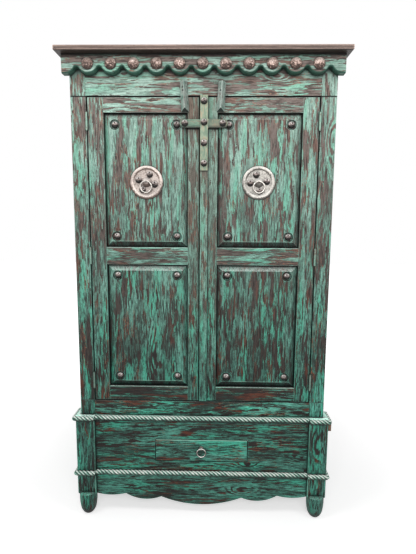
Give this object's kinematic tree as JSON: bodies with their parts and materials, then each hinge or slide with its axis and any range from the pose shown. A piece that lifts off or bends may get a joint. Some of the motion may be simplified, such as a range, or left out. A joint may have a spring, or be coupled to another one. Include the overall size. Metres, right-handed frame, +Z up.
{
  "type": "two door cabinet",
  "caption": "Upright painted cabinet with two raised-panel doors on side hinges, a base drawer, scalloped cornice, rope mouldings, ring pulls and turned feet.",
  "frame": {"origin": "on the floor, under the middle of the overall width and depth", "axes": "+Z up, doors face -Y, +X to the right of someone facing the doors"},
  "size_m": [1.208, 0.615, 2.092],
  "materials": {
    "distressed_paint": "mint green paint rubbed through to dark brown pine, satin",
    "dark_wood": "dark brown stained wood, waxed",
    "bare_wood": "unpainted brown pine",
    "hammered_copper": "hammered, brown patina",
    "dark_iron": "burnished dark iron",
    "aged_nickel": "aged warm silver",
    "painted_iron": "iron with worn pale green paint"
  },
  "bodies": {
    "case": {"cap_top": "dark_wood", "front_valance": "distressed_paint", "side_valances": "distressed_paint", "cornice_clavos": "hammered_copper", "crown_front_board": "distressed_paint", "corner_blocks": "distressed_paint", "case_sides": "distressed_paint", "front_posts": "distressed_paint", "back_panels": "bare_wood", "bottom_rail": "distressed_paint", "case_ceiling": "bare_wood", "case_floor": "bare_wood", "shelves": "bare_wood", "cleats": "bare_wood", "ledge_top": "distressed_paint", "base_posts": "distressed_paint", "base_front_panel": "distressed_paint", "base_side_panels": "distressed_paint", "front_apron": "distressed_paint", "side_aprons": "distressed_paint", "rope_mouldings": "distressed_paint", "case_hinge_leaves": "painted_iron", "hinge_pins": "painted_iron", "drawer_runners": "bare_wood"},
    "left_door": {"left_hinge_stile": "distressed_paint", "left_meeting_stile": "distressed_paint", "left_bottom_rail": "distressed_paint", "left_middle_rail": "distressed_paint", "left_top_rail": "distressed_paint", "left_upper_panel": "distressed_paint", "left_lower_panel": "distressed_paint", "left_door_clavos": "dark_iron", "left_escutcheon": "aged_nickel", "left_ring_eye": "aged_nickel", "left_ridged_bar": "painted_iron", "left_door_hinge_leaves": "painted_iron", "cross_left_arm": "painted_iron"},
    "right_door": {"right_hinge_stile": "distressed_paint", "right_meeting_stile": "distressed_paint", "right_bottom_rail": "distressed_paint", "right_middle_rail": "distressed_paint", "right_top_rail": "distressed_paint", "right_upper_panel": "distressed_paint", "right_lower_panel": "distressed_paint", "right_door_clavos": "dark_iron", "right_escutcheon": "aged_nickel", "right_ring_eye": "aged_nickel", "right_ridged_bar": "painted_iron", "right_door_hinge_leaves": "painted_iron", "cross_strap": "painted_iron", "astragal": "distressed_paint"},
    "drawer": {"drawer_front": "distressed_paint", "drawer_sides": "bare_wood", "drawer_back": "bare_wood", "drawer_floor": "bare_wood", "drawer_pull_eye": "aged_nickel"},
    "left_ring": {"left_pull_ring": "aged_nickel"},
    "right_ring": {"right_pull_ring": "aged_nickel"},
    "drawer_pull_ring": {"drawer_ring": "aged_nickel"}
  },
  "joints": [
    {"name": "left_door_hinge", "type": "hinge", "parent": "case", "child": "left_door", "pos_m": [-0.49625, -0.2373, 0.5655], "axis": [0, 0, -1], "range_deg": [0, 170]},
    {"name": "right_door_hinge", "type": "hinge", "parent": "case", "child": "right_door", "pos_m": [0.49625, -0.2373, 0.5655], "axis": [0, 0, 1], "range_deg": [0, 170]},
    {"name": "drawer_slide", "type": "slide", "parent": "case", "child": "drawer", "axis": [0, -1, 0], "range_m": [0, 0.3]},
    {"name": "left_ring_swing", "type": "hinge", "parent": "left_door", "child": "left_ring", "pos_m": [-0.243, -0.25305, 1.56], "axis": [-1, 0, 0], "range_deg": [0, 85]},
    {"name": "right_ring_swing", "type": "hinge", "parent": "right_door", "child": "right_ring", "pos_m": [0.243, -0.25305, 1.56], "axis": [-1, 0, 0], "range_deg": [0, 85]},
    {"name": "drawer_ring_swing", "type": "hinge", "parent": "drawer", "child": "drawer_pull_ring", "pos_m": [0, -0.24845, 0.333], "axis": [-1, 0, 0], "range_deg": [0, 85]}
  ]
}
